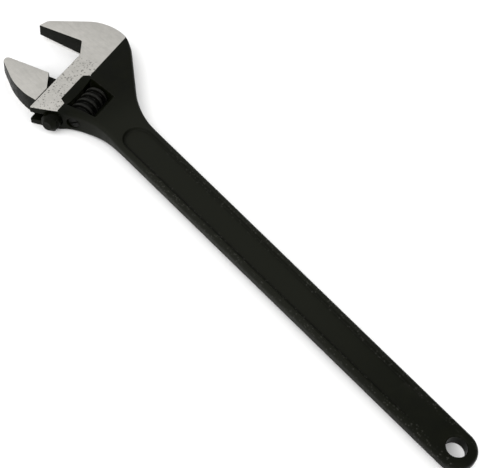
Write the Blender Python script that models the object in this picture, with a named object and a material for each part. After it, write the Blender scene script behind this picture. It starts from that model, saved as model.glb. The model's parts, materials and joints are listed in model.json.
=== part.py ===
"""Large adjustable wrench: forged body with a fixed jaw, sliding jaw with a rack, worm, pin and spring.

The head is drawn in its own frame: x runs along the jaws towards the handle, y towards the fixed jaw, z is
the thickness, and the clamping face of the fixed jaw is the plane y = 0. The handle leaves the head at
HEAD_ANGLE, and the whole wrench is turned so that the handle lies along +X and rests on z = 0.
"""

import math

import bmesh
import bpy
from mathutils import Matrix, Vector, geometry

MM = 0.001

# Overall sizes
HEAD_ANGLE = math.radians(22.5)
HEAD_THICKNESS = 23.4 * MM
MID = HEAD_THICKNESS / 2
HANDLE_THICKNESS = 12.2 * MM
HEAD_TO_HOLE = 522.7 * MM  # along the handle's axis, from x = 0 of the head to the hang hole
AXIS_Y = -41.8 * MM  # where the handle's axis crosses x = 0

# Handle, with distances counted from the hang hole
HALF_WIDTH_HEAD = 20.7 * MM
HALF_WIDTH_END = 17.4 * MM
WIDTH_LENGTH = 400 * MM  # length over which the handle narrows
HOLE_RADIUS = 8.8 * MM
HOLE_CHAMFER = 1.2 * MM
NECK_FROM = 464 * MM
NECK_TO = 404 * MM
PANEL_FROM = 422 * MM
PANEL_TO = 30 * MM
PANEL_FADE = 36 * MM  # length over which the panel runs out towards the hole
PANEL_DEPTH = 2.7 * MM
PANEL_RIM = 4.7 * MM
PANEL_WALL = 2.2 * MM
EDGE_ROUND = 4.0 * MM
CRISP_ROUND = 0.5 * MM
EDGE_BLEND = 12 * MM  # length over which the crisp edge of the ground face becomes the handle's round one
CAP_ROUND = 0.98  # share of the handle's end that is round

# Head: flat black forging down to GROUND_LINE, then two ground faces that taper to the jaw tips
GROUND_LINE = 25.8 * MM
JAW_REACH = 61.5 * MM
JAW_TIP_THICKNESS = 12.2 * MM
TAPER = (HEAD_THICKNESS - JAW_TIP_THICKNESS) / 2 / (GROUND_LINE + JAW_REACH)
BORE_X = 22.0 * MM
BORE_RADIUS = 9.3 * MM
BORE_TOP = 0.1 * MM
BORE_LENGTH = 140 * MM  # past the lower end of the bar
SLOT_HALF = 4.8 * MM
SLOT_END = 0.3 * MM
# The window's rim, and its throat, the part that goes right through
WINDOW = ((28.4, -43.8), (61.4, -54.2), (61.4, -87.5), (28.4, -87.5))
WINDOW_THROAT = ((28.4, -48.5), (53.8, -51.6), (53.8, -86.9), (28.4, -86.9))
WINDOW_SLOPE = 9.0 * MM  # depth over which the rim narrows to the throat
# Hollow beside the window that slopes down towards the worm. It runs on to RELIEF_END, inside the window
RELIEF = (
    (31, -88.4),
    (25.8, -87.7),
    (19.6, -83.4),
    (19.6, -47.8),
    (20.2, -44.6),
    (23.2, -42.8),
    (26.8, -41.4),
    (31, -44.0),
)
RELIEF_END = 30 * MM
RELIEF_SLOPE = 0.3
# Heights y of the points along the ground line, above and below the relief, and along the relief's end
GROUND_LINE_ABOVE = (25.5, 14, 0, -14, -28, -40.5)
GROUND_LINE_BELOW = (-89, -94, -99)
RELIEF_END_HEIGHTS = (-44.5, -50, -60, -70, -80, -87.5)

# Movable jaw
OPENING = 57.0 * MM
JAW_GAP = 0.4 * MM  # between the jaw and the bar, and between the slide's top and the jaw's clamping face
JAW_ROOT_THICKNESS = 19.8 * MM
MOVABLE_TIP_THICKNESS = 12.8 * MM
SLIDE_RADIUS = 9.0 * MM
SLIDE_LENGTH = 55.7 * MM
SLIDE_CHAMFER = 1.2 * MM
SLIDE_END_CHAMFER = 4.0 * MM
WEB_HALF = 4.5 * MM
WEB_LENGTH = 38.8 * MM
# The web's corners that lie inside the jaw
WEB_ROOT = ((-4.0, -38.8), (-18.0, -33.0), (-18.0, -0.4))

# Worm and rack
WORM_X = 40.6 * MM
WORM_RADIUS = 11.5 * MM
THREAD_DEPTH = 2.9 * MM
PITCH = 8.5 * MM
CREST_WIDTH = 2.2 * MM
FLANK = math.tan(math.radians(20))
WORM_FROM = 52.4 * MM  # distances below the fixed clamping face
WORM_TO = 86.3 * MM
THREAD_TOP = 54.2 * MM  # where a crest passes the upper side of the worm
THREAD_TURNS = range(-2, 6)  # counted from that crest, more than the worm's length holds
HUB_LENGTH = 1.2 * MM
HUB_RADIUS = 6.0 * MM
WORM_BORE = 3.35 * MM
SPRING_POCKET_RADIUS = 5.2 * MM
SPRING_POCKET_DEPTH = 9.0 * MM
RACK_DEPTH = 2.4 * MM
GROOVE_FLOOR = 3.4 * MM
GROOVE_OVERRUN = 1.0 * MM
RACK_LEAN = 0.12  # the grooves follow the worm's lead

# Pin and spring
PIN_RADIUS = 3.0 * MM
PIN_FROM = 37.0 * MM
PIN_HOLE = 3.3 * MM
PIN_CHAMFER = 0.5 * MM
PIN_SIDES = 28
SCREW_SEAT = 90.5 * MM
SCREW_RADIUS = 5.9 * MM
SCREW_RECESS = 6.3 * MM
SCREW_TOP = 95.4 * MM
SLOT_WIDTH = 1.6 * MM
SLOT_DEPTH = 1.9 * MM
SLOT_TURN = math.radians(35)
SPRING_RADIUS = 4.2 * MM
WIRE_RADIUS = 0.55 * MM
WIRE_SIDES = 6
SPRING_TURNS = 4.5
SPRING_STEPS = 16  # per turn
GAP = 0.3 * MM

# Fineness
ARC_STEP = math.radians(7.5)
EDGE_STEP = 11 * MM
ROUND_STEPS = 3
GRID = 9 * MM
GRID_GAP = 5 * MM
ROUND_SIDES = 40
WORM_SIDES = 32
PANEL_STATIONS = 30
PANEL_END_STEPS = 12
SMOOTH_ANGLE = math.radians(32)
CUTTER_REACH = 40 * MM


# ---------------------------------------------------------------- plan helpers


def along(distance, offset):
    """Point in the head's frame: distance from the hang hole towards the head, offset to the back."""
    run = HEAD_TO_HOLE - distance
    c, s = math.cos(HEAD_ANGLE), math.sin(HEAD_ANGLE)
    return run * c + offset * s, AXIS_Y - run * s + offset * c


def handle_place(x, y):
    """Inverse of along(): distance from the hang hole and offset."""
    c, s = math.cos(HEAD_ANGLE), math.sin(HEAD_ANGLE)
    dy = y - AXIS_Y
    return HEAD_TO_HOLE - (x * c - dy * s), x * s + dy * c


def half_width(distance):
    return HALF_WIDTH_END + distance / WIDTH_LENGTH * (HALF_WIDTH_HEAD - HALF_WIDTH_END)


def smooth(value, low, high):
    """0 at low, 1 at high, with level ends. low may be above high."""
    t = min(1.0, max(0.0, (value - low) / (high - low)))
    return t * t * (3 - 2 * t)


def rounded(corners):
    """Closed outline from corners (x, y, radius): each corner becomes an arc, each straight is divided."""
    count = len(corners)
    arcs = []
    for i, (x, y, radius) in enumerate(corners):
        here = Vector((x, y))
        before = (Vector(corners[i - 1][:2]) - here).normalized()
        after = (Vector(corners[(i + 1) % count][:2]) - here).normalized()
        turn = math.pi - before.angle(after)
        reach = radius * math.tan(turn / 2)
        centre = here + (before + after).normalized() * (radius / math.cos(turn / 2))
        start = here + before * reach - centre
        steps = max(1, round(turn / ARC_STEP), math.ceil(turn * radius / EDGE_STEP))
        step = (turn if before.cross(after) < 0 else -turn) / steps
        arcs.append([centre + Matrix.Rotation(k * step, 2) @ start for k in range(steps + 1)])
    points = []
    for i, arc in enumerate(arcs):
        points += arc
        end, start = arc[-1], arcs[(i + 1) % count][0]
        pieces = max(1, math.ceil((start - end).length / EDGE_STEP))
        points += [end.lerp(start, k / pieces) for k in range(1, pieces)]
    return points


def inward(points):
    """Unit normals of a counter-clockwise outline, pointing inside."""
    normals = []
    for i, point in enumerate(points):
        a = (point - points[i - 1]).normalized()
        b = (points[(i + 1) % len(points)] - point).normalized()
        middle = (a + b).normalized()
        normals.append(Vector((-middle.y, middle.x)) / max(0.5, middle.dot(a)))
    return normals


def inside(x, y, polygon):
    hit = False
    for i, (x1, y1) in enumerate(polygon):
        x0, y0 = polygon[i - 1]
        if (y0 > y) != (y1 > y) and x < x0 + (y - y0) * (x1 - x0) / (y1 - y0):
            hit = not hit
    return hit


def distance_to(x, y, a, b):
    point, start, end = Vector((x, y)), Vector(a), Vector(b)
    run = end - start
    t = min(1.0, max(0.0, (point - start).dot(run) / run.length_squared))
    return (start + run * t - point).length


def in_metres(corners):
    return [tuple(value * MM for value in corner) for corner in corners]


# ---------------------------------------------------------------- mesh helpers


def add_object(name, mesh, parent, location=(0, 0, 0), rotation=(0, 0, 0)):
    made = bpy.data.objects.new(name, mesh)
    bpy.context.scene.collection.objects.link(made)
    made.parent = parent
    made.location = location
    made.rotation_euler = rotation
    return made


def mesh_from(name, shape):
    bmesh.ops.recalc_face_normals(shape, faces=shape.faces)
    mesh = bpy.data.meshes.new(name)
    shape.to_mesh(mesh)
    shape.free()
    mesh.shade_smooth()
    mesh.set_sharp_from_angle(angle=SMOOTH_ANGLE)
    return mesh


def plate(outline, extra, links, height, rounding):
    """A plate, mirrored about z = 0, with top height(x, y) and its edge rounded by rounding(x, y)."""
    shape = bmesh.new()
    normals = inward(outline)
    rounds = [rounding(p.x, p.y) for p in outline]
    inner = [p + n * r for p, n, r in zip(outline, normals, rounds)]
    tops = [height(p.x, p.y) for p in inner]

    def ring(sign, angle):
        made = []
        for p, n, r, top in zip(outline, normals, rounds, tops):
            at = p + n * r * (1 - math.cos(angle))
            made.append(shape.verts.new((at.x, at.y, sign * (top - r * (1 - math.sin(angle))))))
        return made

    angles = [math.pi / 2 * k / ROUND_STEPS for k in range(ROUND_STEPS + 1)]
    rings = [ring(1, angle) for angle in reversed(angles)] + [ring(-1, angle) for angle in angles]
    count = len(outline)
    for first, second in zip(rings, rings[1:]):
        for i in range(count):
            k = (i + 1) % count
            shape.faces.new((first[i], first[k], second[k], second[i]))

    flat = inner + [Vector(p) for p in extra]
    links = [(a + count, b + count) for a, b in links]
    found, _, faces, origins, _, _ = geometry.delaunay_2d_cdt(flat, links, [list(range(count))], 1, 1e-7)
    above, below = [], []
    for point, sources in zip(found, origins):
        source = min(sources) if sources else count
        if source < count:
            above.append(rings[0][source])
            below.append(rings[-1][source])
        else:
            top = height(point.x, point.y)
            above.append(shape.verts.new((point.x, point.y, top)))
            below.append(shape.verts.new((point.x, point.y, -top)))
    for face in faces:
        shape.faces.new([above[i] for i in face])
        shape.faces.new([below[i] for i in reversed(face)])
    return shape


def loft(sections):
    """Solid through sections (z, polygon), whose polygons have the same number of corners."""
    shape = bmesh.new()
    rings = [[shape.verts.new((x, y, z)) for x, y in polygon] for z, polygon in sections]
    for a, b in zip(rings, rings[1:]):
        for i in range(len(a)):
            k = (i + 1) % len(a)
            shape.faces.new((a[i], a[k], b[k], b[i]))
    shape.faces.new(rings[0][::-1])
    shape.faces.new(rings[-1])
    return shape


def prism(polygon, low, high):
    return loft(((low, polygon), (high, polygon)))


def turned(profile, sides=ROUND_SIDES):
    """Solid of revolution about z from (radius, z) points that start and end on the axis."""
    shape = bmesh.new()
    rings = []
    for radius, z in profile:
        if radius == 0:
            rings.append([shape.verts.new((0, 0, z))] * sides)
            continue
        ring = []
        for k in range(sides):
            angle = 2 * math.pi * k / sides
            ring.append(shape.verts.new((radius * math.cos(angle), radius * math.sin(angle), z)))
        rings.append(ring)
    for a, b in zip(rings, rings[1:]):
        for i in range(sides):
            k = (i + 1) % sides
            shape.faces.new(dict.fromkeys((a[i], a[k], b[k], b[i])))
    return shape


def swept(section, path):
    """Solid from a closed section carried along a path of 4 x 4 frames, with filled ends."""
    shape = bmesh.new()
    rings = [[shape.verts.new(frame @ Vector((a, b, 0))) for a, b in section] for frame in path]
    for first, second in zip(rings, rings[1:]):
        for i in range(len(section)):
            k = (i + 1) % len(section)
            shape.faces.new((first[i], first[k], second[k], second[i]))
    shape.faces.new(rings[0][::-1])
    shape.faces.new(rings[-1])
    bmesh.ops.triangulate(shape, faces=shape.faces)
    return shape


def use(target, name, shape, operation, location=(0, 0, 0), rotation=(0, 0, 0)):
    """Cuts a shape from the target, or joins it, with a Boolean modifier and a hidden helper."""
    tool = add_object(name, mesh_from(name, shape), target.parent, location, rotation)
    tool.hide_render = True
    tool.display_type = "WIRE"
    modifier = target.modifiers.new(name, "BOOLEAN")
    modifier.operation = operation
    modifier.solver = "EXACT"
    modifier.object = tool


def material(name, colour, roughness, metallic):
    made = bpy.data.materials.new(name)
    made.use_nodes = True
    shader = made.node_tree.nodes["Principled BSDF"]
    shader.inputs["Base Color"].default_value = (*colour, 1)
    shader.inputs["Roughness"].default_value = roughness
    shader.inputs["Metallic"].default_value = metallic
    made.diffuse_color = (*colour, 1)
    return made


# ---------------------------------------------------------------- body


def body_outline():
    """Counter-clockwise: from the fixed jaw's tip down the bar, round the handle, back over the head."""
    cap = HALF_WIDTH_END
    corners = in_metres(
        (
            (-JAW_REACH / MM, 0, 0.8),
            (-10.2, 0, 2.5),
            (0, -19.5, 8),
            (0, -108.8, 1.5),
            (25.5, -101.2, 60),
            (46, -94.1, 50),
            (71.6, -93.8, 70),
        )
    )
    corners += [(*along(-cap, side * cap), cap * CAP_ROUND) for side in (-1, 1)]
    corners += in_metres(((88.2, -54.6, 80), (26.4, 34.8, 52), (-12.8, 34.8, 40), (-57.6, 10.8, 6)))
    return rounded(corners)


def panel_share(distance, offset):
    """1 on the floor of the handle's recessed panel, 0 outside it."""
    limit = half_width(distance) - PANEL_RIM
    edge = limit - abs(offset)
    short = PANEL_FROM - distance
    if short < limit:
        edge = limit - math.hypot(offset, limit - short)
    return smooth(edge, 0, PANEL_WALL) * smooth(distance, PANEL_TO, PANEL_TO + PANEL_FADE)


def body_height(x, y):
    """Half thickness of the body at a point."""
    relief = in_metres(RELIEF)
    if inside(x, y, relief):
        edge = min(distance_to(x, y, a, b) for a, b in zip(relief, relief[1:]))
        return MID - TAPER * max(0, GROUND_LINE - x) - RELIEF_SLOPE * edge
    if x > GROUND_LINE:
        distance, offset = handle_place(x, y)
        neck = smooth(distance, NECK_FROM, NECK_TO)
        return MID + (HANDLE_THICKNESS / 2 - MID) * neck - PANEL_DEPTH * panel_share(distance, offset)
    return MID - TAPER * (GROUND_LINE - x)


def body_rounding(x, y):
    return CRISP_ROUND + (EDGE_ROUND - CRISP_ROUND) * smooth(x, GROUND_LINE, GROUND_LINE + EDGE_BLEND)


def body_points(outline):
    """Interior points of the body's faces, and the creases that join them."""
    points, links = [], []

    def crease(run):
        start = len(points)
        points.extend(run)
        links.extend((i, i + 1) for i in range(start, len(points) - 1))

    crease([(GROUND_LINE, y * MM) for y in GROUND_LINE_ABOVE])
    crease([(GROUND_LINE, y * MM) for y in GROUND_LINE_BELOW])
    crease(in_metres(RELIEF))
    crease([(RELIEF_END, y * MM) for y in RELIEF_END_HEIGHTS])
    for inset in (PANEL_RIM, PANEL_RIM + PANEL_WALL):
        limit = half_width(PANEL_FROM) - PANEL_RIM
        first = PANEL_FROM - limit
        for side in (-1, 1):
            run = []
            for k in range(1, PANEL_STATIONS):
                distance = first + (PANEL_TO - first) * k / PANEL_STATIONS
                run.append(along(distance, side * (half_width(distance) - inset)))
            crease(run)
        reach = limit + PANEL_RIM - inset
        run = []
        for k in range(PANEL_END_STEPS + 1):
            angle = math.pi * (k / PANEL_END_STEPS - 0.5)
            run.append(along(first + reach * math.cos(angle), reach * math.sin(angle)))
        crease(run)

    # The neck, between the head and the handle, needs points of its own for its slope
    sides = list(zip(outline, outline[1:])) + [(points[a], points[b]) for a, b in links]
    across = math.ceil(2 * HALF_WIDTH_HEAD / GRID)
    for i in range(math.ceil((NECK_FROM - NECK_TO) / GRID)):
        for j in range(-across, across + 1):
            x, y = along(NECK_FROM - i * GRID, j * GRID)
            if inside(x, y, outline) and min(distance_to(x, y, a, b) for a, b in sides) > GRID_GAP:
                points.append((x, y))
    return points, links


def make_body(root):
    outline = body_outline()
    shape = plate(outline, *body_points(outline), body_height, body_rounding)
    body = add_object("body", mesh_from("body", shape), root, (0, 0, MID))
    down = (math.pi / 2, 0, 0)

    rim, throat = in_metres(WINDOW), in_metres(WINDOW_THROAT)
    upper = ((MID - WINDOW_SLOPE, throat), (MID, rim), (CUTTER_REACH, rim))
    lower = [(-z, polygon) for z, polygon in reversed(upper)]
    use(body, "window_cutter", loft((*lower, *upper)), "DIFFERENCE", (0, 0, MID))

    bore = turned(((0, BORE_TOP), (BORE_RADIUS, BORE_TOP), (BORE_RADIUS, BORE_LENGTH), (0, BORE_LENGTH)))
    use(body, "bore_cutter", bore, "DIFFERENCE", (BORE_X, 0, MID), down)

    left = -CUTTER_REACH
    slot = ((left, -SLOT_END), (BORE_X, -SLOT_END), (BORE_X, -BORE_LENGTH), (left, -BORE_LENGTH))
    use(body, "slot_cutter", prism(slot, -SLOT_HALF, SLOT_HALF), "DIFFERENCE", (0, 0, MID))

    start = PIN_FROM - GAP
    pin_hole = (
        (0, start),
        (PIN_HOLE, start),
        (PIN_HOLE, SCREW_SEAT),
        (SCREW_RECESS, SCREW_SEAT),
        (SCREW_RECESS, BORE_LENGTH),
        (0, BORE_LENGTH),
    )
    use(body, "pin_cutter", turned(pin_hole, PIN_SIDES), "DIFFERENCE", (WORM_X, 0, MID), down)

    half, wide = HANDLE_THICKNESS / 2, HOLE_RADIUS + HOLE_CHAMFER
    hole = (
        (0, -half - CUTTER_REACH),
        (wide + CUTTER_REACH, -half - CUTTER_REACH),
        (wide, -half),
        (HOLE_RADIUS, HOLE_CHAMFER - half),
        (HOLE_RADIUS, half - HOLE_CHAMFER),
        (wide, half),
        (wide + CUTTER_REACH, half + CUTTER_REACH),
        (0, half + CUTTER_REACH),
    )
    use(body, "hole_cutter", turned(hole), "DIFFERENCE", (*along(0, 0), MID))
    return body


# ---------------------------------------------------------------- movable jaw


def jaw_height(x, _y):
    """Half thickness; x is measured from the slide's axis."""
    share = -(x + BORE_X) / JAW_REACH
    return (JAW_ROOT_THICKNESS + (MOVABLE_TIP_THICKNESS - JAW_ROOT_THICKNESS) * share) / 2


def rack_cutter():
    """The grooves that the worm's thread runs in, each a leaning trapezium across the slide."""
    shape = bmesh.new()
    floor, beyond = SLIDE_RADIUS - RACK_DEPTH, SLIDE_RADIUS + GROOVE_OVERRUN
    narrow = GROOVE_FLOOR / 2
    wide = narrow + (beyond - floor) * FLANK
    first = THREAD_TOP + PITCH / 4 - OPENING
    for n in range(math.ceil((SLIDE_LENGTH - first) / PITCH)):
        rings = []
        for z in (-SLIDE_RADIUS, SLIDE_RADIUS):
            at = RACK_LEAN * z - first - n * PITCH
            plan = ((floor, at - narrow), (beyond, at - wide), (beyond, at + wide), (floor, at + narrow))
            rings.append([shape.verts.new((x, y, z)) for x, y in plan])
        for i in range(4):
            k = (i + 1) % 4
            shape.faces.new((rings[0][i], rings[0][k], rings[1][k], rings[1][i]))
        shape.faces.new(rings[0][::-1])
        shape.faces.new(rings[1])
    return shape


def make_jaw(root):
    """Its origin is on the slide's axis, in the plane of its clamping face."""
    origin = (BORE_X, -OPENING, MID)
    edge = -JAW_GAP / MM
    corners = in_metres(
        (
            (edge, -20.3, 1),
            (-11.5, 0, 1.5),
            (-61.3, 0, 3.5),
            (-60.8, -7.5, 8),
            (-34, -29.4, 70),
            (-14, -37.8, 60),
            (edge, -40.2, 0.6),
        )
    )
    outline = rounded([(x - BORE_X, y, r) for x, y, r in corners])
    shape = plate(outline, [], [], jaw_height, lambda x, y: CRISP_ROUND)
    jaw = add_object("movable_jaw", mesh_from("movable_jaw", shape), root, origin)

    web = [(0, -JAW_GAP), (0, -WEB_LENGTH)] + [(x - BORE_X, y) for x, y in in_metres(WEB_ROOT)]
    use(jaw, "web_piece", prism(web, -WEB_HALF, WEB_HALF), "UNION", origin)

    top, end = JAW_GAP, SLIDE_LENGTH
    profile = (
        (0, top),
        (SLIDE_RADIUS - SLIDE_CHAMFER, top),
        (SLIDE_RADIUS, top + SLIDE_CHAMFER),
        (SLIDE_RADIUS, end - SLIDE_END_CHAMFER),
        (SLIDE_RADIUS - SLIDE_END_CHAMFER, end),
        (0, end),
    )
    use(jaw, "slide_piece", turned(profile), "UNION", origin, (math.pi / 2, 0, 0))
    use(jaw, "rack_cutter", rack_cutter(), "DIFFERENCE", origin)
    return jaw


# ---------------------------------------------------------------- worm, pin, spring


def helix(radius, pitch, start):
    """Frames along the spring: local x points away from the axis, local y along it."""
    frames = []
    for k in range(round(SPRING_TURNS * SPRING_STEPS) + 1):
        turns = k / SPRING_STEPS
        out = Vector((math.cos(2 * math.pi * turns), math.sin(2 * math.pi * turns), 0))
        frame = Matrix((out, (0, 0, 1), out.cross((0, 0, 1)))).transposed().to_4x4()
        frame.translation = out * radius + Vector((0, 0, start + pitch * turns))
        frames.append(frame)
    return frames


def thread_radius(z, angle):
    """Radius of the threaded surface at height z and the given angle."""
    crest = THREAD_TOP + PITCH * (angle / (2 * math.pi) - 0.25)
    away = abs((z - crest + PITCH / 2) % PITCH - PITCH / 2)
    depth = min(THREAD_DEPTH, max(0, (away - CREST_WIDTH / 2) / FLANK))
    return WORM_RADIUS - depth


def worm_column(angle):
    """Closed profile (radius, z) of the worm at one angle; the thread's corners climb with the angle."""
    top, pocket = WORM_FROM - HUB_LENGTH, WORM_TO - SPRING_POCKET_DEPTH
    half_crest, half_base = CREST_WIDTH / 2, CREST_WIDTH / 2 + THREAD_DEPTH * FLANK
    column = [(WORM_BORE, top), (HUB_RADIUS, top), (HUB_RADIUS, WORM_FROM)]
    for turn in THREAD_TURNS:
        crest = THREAD_TOP + PITCH * (turn + angle / (2 * math.pi) - 0.25)
        for z in (crest - half_base, crest - half_crest, crest + half_crest, crest + half_base):
            z = min(WORM_TO, max(WORM_FROM, z))
            column.append((thread_radius(z, angle), z))
    return column + [(SPRING_POCKET_RADIUS, WORM_TO), (SPRING_POCKET_RADIUS, pocket), (WORM_BORE, pocket)]


def make_worm(root):
    """Its origin is on the pin's axis, level with the fixed clamping face; its own z runs down the axis."""
    shape = bmesh.new()
    columns = []
    for k in range(WORM_SIDES + 1):
        angle = 2 * math.pi * k / WORM_SIDES
        across = Vector((math.cos(angle), math.sin(angle)))
        columns.append([shape.verts.new((*(across * r), z)) for r, z in worm_column(angle)])
    for first, second in zip(columns, columns[1:]):
        for i in range(len(first)):
            shape.faces.new((first[i - 1], first[i], second[i], second[i - 1]))
    bmesh.ops.remove_doubles(shape, verts=shape.verts, dist=1e-7)
    bmesh.ops.triangulate(shape, faces=shape.faces)
    return add_object("worm", mesh_from("worm", shape), root, (WORM_X, 0, MID), (math.pi / 2, 0, 0))


def make_pin(root):
    """Screw pin: a plain shaft through the worm and a slotted end in the body's lower side."""
    profile = (
        (0, PIN_FROM),
        (PIN_RADIUS - PIN_CHAMFER, PIN_FROM),
        (PIN_RADIUS, PIN_FROM + PIN_CHAMFER),
        (PIN_RADIUS, SCREW_SEAT + GAP),
        (SCREW_RADIUS, SCREW_SEAT + GAP),
        (SCREW_RADIUS, SCREW_TOP - PIN_CHAMFER),
        (SCREW_RADIUS - PIN_CHAMFER, SCREW_TOP),
        (0, SCREW_TOP),
    )
    place = ((WORM_X, 0, MID), (math.pi / 2, 0, 0))
    pin = add_object("worm_pin", mesh_from("worm_pin", turned(profile, PIN_SIDES)), root, *place)
    half, wide = SLOT_WIDTH / 2, 2 * SCREW_RADIUS
    plan = ((-wide, -half), (wide, -half), (wide, half), (-wide, half))
    slot = prism(plan, SCREW_TOP - SLOT_DEPTH, SCREW_TOP + SLOT_DEPTH)
    slot.transform(Matrix.Rotation(SLOT_TURN, 4, "Z"))
    use(pin, "driver_slot_cutter", slot, "DIFFERENCE", *place)
    return pin


def make_spring(root):
    """Coil round the pin, in the worm's pocket, between the worm and the lower side of the window."""
    first = WORM_TO - SPRING_POCKET_DEPTH + GAP + WIRE_RADIUS
    last = -WINDOW_THROAT[-1][1] * MM - GAP - WIRE_RADIUS
    turns = [2 * math.pi * k / WIRE_SIDES for k in range(WIRE_SIDES)]
    section = [(WIRE_RADIUS * math.cos(turn), WIRE_RADIUS * math.sin(turn)) for turn in turns]
    path = helix(SPRING_RADIUS, (last - first) / SPRING_TURNS, first)
    mesh = mesh_from("worm_spring", swept(section, path))
    return add_object("worm_spring", mesh, root, (WORM_X, 0, MID), (math.pi / 2, 0, 0))


# ---------------------------------------------------------------- assembly


def clear():
    for item in list(bpy.data.objects):
        bpy.data.objects.remove(item, do_unlink=True)


def centre(root, parts):
    """Moves the wrench so that the middle of its footprint is the origin."""
    bpy.context.view_layer.update()
    graph = bpy.context.evaluated_depsgraph_get()
    xs, ys = [], []
    for part in parts:
        evaluated = part.evaluated_get(graph)
        for corner in evaluated.to_mesh().vertices:
            at = evaluated.matrix_world @ corner.co
            xs.append(at.x)
            ys.append(at.y)
        evaluated.to_mesh_clear()
    root.location.x -= (min(xs) + max(xs)) / 2
    root.location.y -= (min(ys) + max(ys)) / 2


def main():
    clear()
    root = bpy.data.objects.new("wrench", None)
    bpy.context.scene.collection.objects.link(root)
    root.rotation_euler.z = HEAD_ANGLE
    body = make_body(root)
    jaw = make_jaw(root)
    worm = make_worm(root)
    pin = make_pin(root)
    spring = make_spring(root)
    body.data.materials.append(material("black_forging", (0.022, 0.022, 0.019), 0.5, 0.6))
    jaw.data.materials.append(material("ground_steel", (0.5, 0.49, 0.46), 0.38, 1.0))
    worm.data.materials.append(material("black_worm", (0.018, 0.018, 0.017), 0.42, 0.6))
    pin.data.materials.append(material("black_pin", (0.03, 0.03, 0.028), 0.45, 0.7))
    spring.data.materials.append(material("spring_steel", (0.3, 0.3, 0.29), 0.35, 1.0))
    centre(root, (body, jaw, worm, pin, spring))


main()
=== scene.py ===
import json
import math

import bmesh
import bpy
from mathutils import Matrix, Vector, geometry

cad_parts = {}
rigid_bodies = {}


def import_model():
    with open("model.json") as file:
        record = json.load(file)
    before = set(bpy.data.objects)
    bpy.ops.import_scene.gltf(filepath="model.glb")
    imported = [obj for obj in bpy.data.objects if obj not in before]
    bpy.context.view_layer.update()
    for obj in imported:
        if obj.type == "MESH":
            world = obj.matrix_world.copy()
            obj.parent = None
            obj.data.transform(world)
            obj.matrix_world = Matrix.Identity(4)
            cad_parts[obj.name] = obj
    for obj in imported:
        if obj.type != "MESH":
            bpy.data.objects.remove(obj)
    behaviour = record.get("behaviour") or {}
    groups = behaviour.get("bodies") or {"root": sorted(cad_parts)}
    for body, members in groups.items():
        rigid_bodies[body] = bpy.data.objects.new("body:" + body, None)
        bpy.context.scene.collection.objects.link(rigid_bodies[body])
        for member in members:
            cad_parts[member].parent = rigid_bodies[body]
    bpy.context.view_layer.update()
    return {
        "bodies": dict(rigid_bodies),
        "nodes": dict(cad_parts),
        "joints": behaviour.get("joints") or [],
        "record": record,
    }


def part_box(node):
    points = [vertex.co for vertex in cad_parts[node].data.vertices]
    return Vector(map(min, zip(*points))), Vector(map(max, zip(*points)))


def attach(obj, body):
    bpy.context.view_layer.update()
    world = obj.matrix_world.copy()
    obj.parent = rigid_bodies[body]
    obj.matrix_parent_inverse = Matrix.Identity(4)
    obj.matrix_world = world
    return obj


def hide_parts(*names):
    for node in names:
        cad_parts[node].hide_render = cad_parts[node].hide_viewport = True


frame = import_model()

# The head is drawn in its own frame: x runs along the jaws towards the handle, y towards the fixed jaw, z is
# the thickness, and the clamping face of the fixed jaw is the plane y = 0. The handle leaves the head at
# HEAD_ANGLE. build_pieces() turns and moves everything onto the CAD part.

MM = 0.001

# Overall sizes
HEAD_ANGLE = math.radians(22.5)
HEAD_THICKNESS = 23.4 * MM
MID = HEAD_THICKNESS / 2
HANDLE_THICKNESS = 12.2 * MM
HEAD_TO_HOLE = 522.7 * MM  # along the handle's axis, from x = 0 of the head to the hang hole
AXIS_Y = -41.8 * MM  # where the handle's axis crosses x = 0

# Handle, with distances counted from the hang hole
HALF_WIDTH_HEAD = 20.7 * MM
HALF_WIDTH_END = 17.4 * MM
WIDTH_LENGTH = 400 * MM  # length over which the handle narrows
HOLE_RADIUS = 8.8 * MM
HOLE_CHAMFER = 1.2 * MM
NECK_FROM = 464 * MM
NECK_TO = 404 * MM
PANEL_FROM = 422 * MM
PANEL_TO = 30 * MM
PANEL_FADE = 36 * MM  # length over which the panel runs out towards the hole
PANEL_DEPTH = 2.7 * MM
PANEL_RIM = 4.7 * MM
PANEL_WALL = 2.2 * MM
EDGE_ROUND = 4.0 * MM
CRISP_ROUND = 0.5 * MM
EDGE_BLEND_START = 1 * MM  # before the ground line
EDGE_BLEND = 12 * MM  # length over which the crisp edge of the ground face becomes the handle's round one
CAP_ROUND = 0.98  # share of the handle's end that is round

# Head: flat black forging down to GROUND_LINE, then two ground faces that taper to the jaw tips
GROUND_LINE = 25.8 * MM
JAW_REACH = 61.5 * MM
JAW_TIP_THICKNESS = 12.2 * MM
TAPER = (HEAD_THICKNESS - JAW_TIP_THICKNESS) / 2 / (GROUND_LINE + JAW_REACH)
BORE_X = 22.0 * MM
BORE_RADIUS = 9.3 * MM
BORE_TOP = 0.1 * MM
BORE_LENGTH = 140 * MM  # past the lower end of the bar
SLOT_HALF = 4.8 * MM
SLOT_END = 0.3 * MM
# The window's rim, and its throat, the part that goes right through
WINDOW = ((28.4, -43.8), (61.4, -54.2), (61.4, -87.5), (28.4, -87.5))
WINDOW_THROAT = ((28.4, -48.5), (53.8, -51.6), (53.8, -86.9), (28.4, -86.9))
WINDOW_SLOPE = 9.0 * MM  # depth over which the rim narrows to the throat
# Hollow beside the window that slopes down towards the worm. It runs on to RELIEF_END, inside the window
RELIEF = (
    (31, -88.4),
    (25.8, -87.7),
    (19.6, -83.4),
    (19.6, -47.8),
    (20.2, -44.6),
    (23.2, -42.8),
    (26.8, -41.4),
    (31, -44.0),
)
RELIEF_END = 30 * MM
RELIEF_SLOPE = 0.3
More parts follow.
